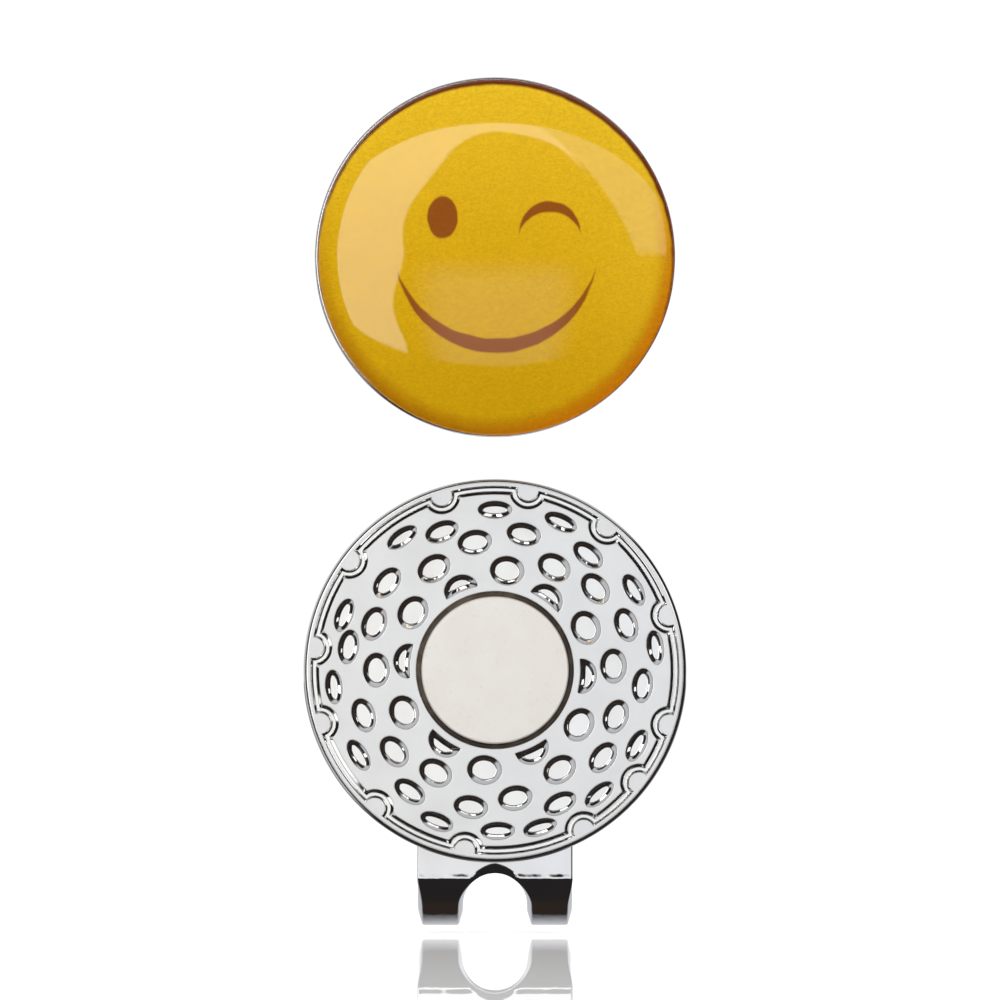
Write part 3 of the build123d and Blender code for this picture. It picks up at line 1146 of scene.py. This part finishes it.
def studio_world():
    """Plain white surroundings, in which bright metal and resin find soft boxes, a card and dark gaps."""
    world = bpy.data.worlds.new("studio")
    graph = Graph(world)
    direction = graph.node("ShaderNodeTexCoord", output="Generated")
    x, y, z = (graph.axis(name, direction) for name in "XYZ")
    facing = graph.step(-0.5 - y, 0.0, 0.05)
    tone = studio_room(graph, x, y, z)
    tone = studio_card(graph, tone, facing, x, z)
    tone = studio_arch(graph, tone, facing, x, z)

    seen = graph.node("ShaderNodeLightPath", output="Is Camera Ray")
    mirrored = graph.node("ShaderNodeLightPath", output="Is Glossy Ray")
    through = graph.node("ShaderNodeLightPath", output="Is Transmission Ray")
    light = graph.blend(mirrored * (1 - through), AMBIENT, tone)
    colour = graph.blend(seen, light, BACKDROP)
    background = graph.node("ShaderNodeBackground", {}, {"Color": colour, "Strength": 1.0})
    graph.node("ShaderNodeOutputWorld", {}, {"Surface": background})
    return world


def pale_floor():
    """A white floor that mirrors at a grazing angle, but only near the object."""
    graph = material_graph("pale_floor")
    white = graph.blend(graph.noise(60 * MM, 2.0), (0.90, 0.90, 0.90), (0.93, 0.93, 0.93))
    paint = graph.node("ShaderNodeBsdfPrincipled", {}, {"Base Color": white, "Roughness": 0.6})
    mirror = graph.node("ShaderNodeBsdfGlossy", {}, {"Color": (1.0, 1.0, 1.0, 1.0), "Roughness": 0.0})
    distance = graph.node("ShaderNodeVectorMath", {"operation": "LENGTH"}, {0: graph.place()}, output="Value")
    near = 1 - graph.step(distance, MIRROR_REACH, 1.5 * MIRROR_REACH)
    sheen = graph.node("ShaderNodeFresnel", {}, {"IOR": 1.05})
    mixed = graph.node("ShaderNodeMixShader", {}, {0: sheen * near, 1: paint, 2: mirror})
    graph.node("ShaderNodeOutputMaterial", {}, {"Surface": mixed})
    return graph.owner


def build_floor(settings):
    """The floor, just under the clip's foot."""
    level = NECK_LOW.z - settings.floor_gap
    corners = [(x * FLOOR_REACH, y * FLOOR_REACH, level) for x, y in ((-1, -1), (1, -1), (1, 1), (-1, 1))]
    mesh = bpy.data.meshes.new("floor")
    mesh.from_pydata(corners, [], [(0, 1, 2, 3)])
    mesh.materials.append(pale_floor())
    floor = bpy.data.objects.new("floor", mesh)
    bpy.context.scene.collection.objects.link(floor)
    floor.visible_glossy = False
    return floor


def build_light():
    """One broad soft light from the upper left."""
    lamp = bpy.data.lights.new("soft_light", "AREA")
    lamp.shape = "RECTANGLE"
    lamp.size = 0.5
    lamp.size_y = 0.4
    lamp.energy = 1.6
    light = bpy.data.objects.new("soft_light", lamp)
    light.location = (-0.35, -0.45, 0.5)
    light.rotation_euler = (Vector((0, 0, 0.01)) - light.location).to_track_quat("-Z", "Y").to_euler()
    light.visible_camera = False
    light.visible_glossy = False
    bpy.context.scene.collection.objects.link(light)
    return light


def build_camera(settings):
    """A long lens, a little below level."""
    lens = bpy.data.cameras.new("camera")
    lens.lens = settings.lens
    lens.sensor_width = 36
    lens.clip_start = 0.01
    distance = settings.view_height / lens.sensor_width * settings.lens
    drop = settings.camera_drop
    view = Vector((0, cos(drop), sin(drop)))
    camera = bpy.data.objects.new("camera", lens)
    camera.location = Vector(settings.aim) - view * distance
    camera.rotation_euler = view.to_track_quat("-Z", "Y").to_euler()
    bpy.context.scene.collection.objects.link(camera)
    bpy.context.scene.camera = camera
    return camera


# ---------------------------------------------------------------- add-on
def finish_node(name, material):
    """Give a node of the frame that stays in view its finish."""
    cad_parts[name].material_slots[0].material = material


class BuildDisc(bpy.types.Operator):
    """Build the dimpled disc with its rim and magnet pocket"""

    bl_idname = "hat_clip.build_disc"
    bl_label = "Dimpled Disc"

    def execute(self, context):
        settings = context.scene.clip_plate
        nickel = polished_metal("polished_nickel", tuple(settings.nickel), 0.03, 0.006 * MM, PLATE_LOW.y)
        build_face_plate(settings, nickel)
        return {"FINISHED"}


class BuildMagnet(bpy.types.Operator):
    """Build the magnet and the ring of glue round it"""

    bl_idname = "hat_clip.build_magnet"
    bl_label = "Magnet and Glue"

    def execute(self, context):
        settings = context.scene.clip_magnet
        build_magnet(satin_plating(tuple(settings.plating)))
        build_glue(cured_glue(tuple(settings.glue)))
        return {"FINISHED"}


class BuildStrip(bpy.types.Operator):
    """Build the bent spring strip and finish the solder that holds it"""

    bl_idname = "hat_clip.build_strip"
    bl_label = "Bent Strip"

    def execute(self, context):
        settings = context.scene.clip_strip
        plating = polished_metal(
            "spring_strip", tuple(settings.plating), 0.02, 0.006 * MM, bend_level=BEND_LEVEL * MM
        )
        build_strip(settings, plating)
        finish_node("solder_joint", dull_solder())
        return {"FINISHED"}


class BuildMarker(bpy.types.Operator):
    """Build the marker's coin and finish the adhesive on it"""

    bl_idname = "hat_clip.build_marker"
    bl_label = "Marker Coin"

    def execute(self, context):
        build_coin(polished_metal("coin_plating", (0.80, 0.79, 0.78), 0.12, 0.004 * MM))
        finish_node("label_adhesive", clear_adhesive())
        return {"FINISHED"}


class BuildLabel(bpy.types.Operator):
    """Build the printed label and the resin dome over it"""

    bl_idname = "hat_clip.build_label"
    bl_label = "Label and Dome"

    def execute(self, context):
        build_label(label_print(context.scene.clip_marker))
        build_dome(clear_resin())
        return {"FINISHED"}


class BuildStage(bpy.types.Operator):
    """Build the floor, the light, the surroundings and the camera"""

    bl_idname = "hat_clip.build_stage"
    bl_label = "Stage"

    def execute(self, context):
        settings = context.scene.clip_stage
        context.scene.world = studio_world()
        context.scene.view_settings.view_transform = "Standard"
        build_floor(settings)
        build_light()
        build_camera(settings)
        return {"FINISHED"}


SETTINGS = {
    "clip_plate": PlateSettings,
    "clip_magnet": MagnetSettings,
    "clip_strip": StripSettings,
    "clip_marker": MarkerSettings,
    "clip_stage": StageSettings,
}
OPERATORS = (BuildDisc, BuildMagnet, BuildStrip, BuildMarker, BuildLabel, BuildStage)


class ClipPanel(bpy.types.Panel):
    """Lists the steps and their settings"""

    bl_idname = "VIEW3D_PT_hat_clip"
    bl_label = "Hat Clip"
    bl_space_type = "VIEW_3D"
    bl_region_type = "UI"
    bl_category = "Hat Clip"

    def draw(self, context):
        for operator in OPERATORS:
            self.layout.operator(operator.bl_idname)
        for name, group in SETTINGS.items():
            box = self.layout.box()
            for field in group.__annotations__:
                box.prop(getattr(context.scene, name), field)


def register():
    for name, group in SETTINGS.items():
        bpy.utils.register_class(group)
        setattr(bpy.types.Scene, name, PointerProperty(type=group))
    for item in (*OPERATORS, ClipPanel):
        bpy.utils.register_class(item)


def unregister():
    for item in (ClipPanel, *reversed(OPERATORS)):
        bpy.utils.unregister_class(item)
    for name, group in reversed(SETTINGS.items()):
        delattr(bpy.types.Scene, name)
        bpy.utils.unregister_class(group)


def main():
    """Build everything in order."""
    register()
    for operator in OPERATORS:
        group, step = operator.bl_idname.split(".")
        getattr(getattr(bpy.ops, group), step)()


if __name__ == "__main__":
    main()
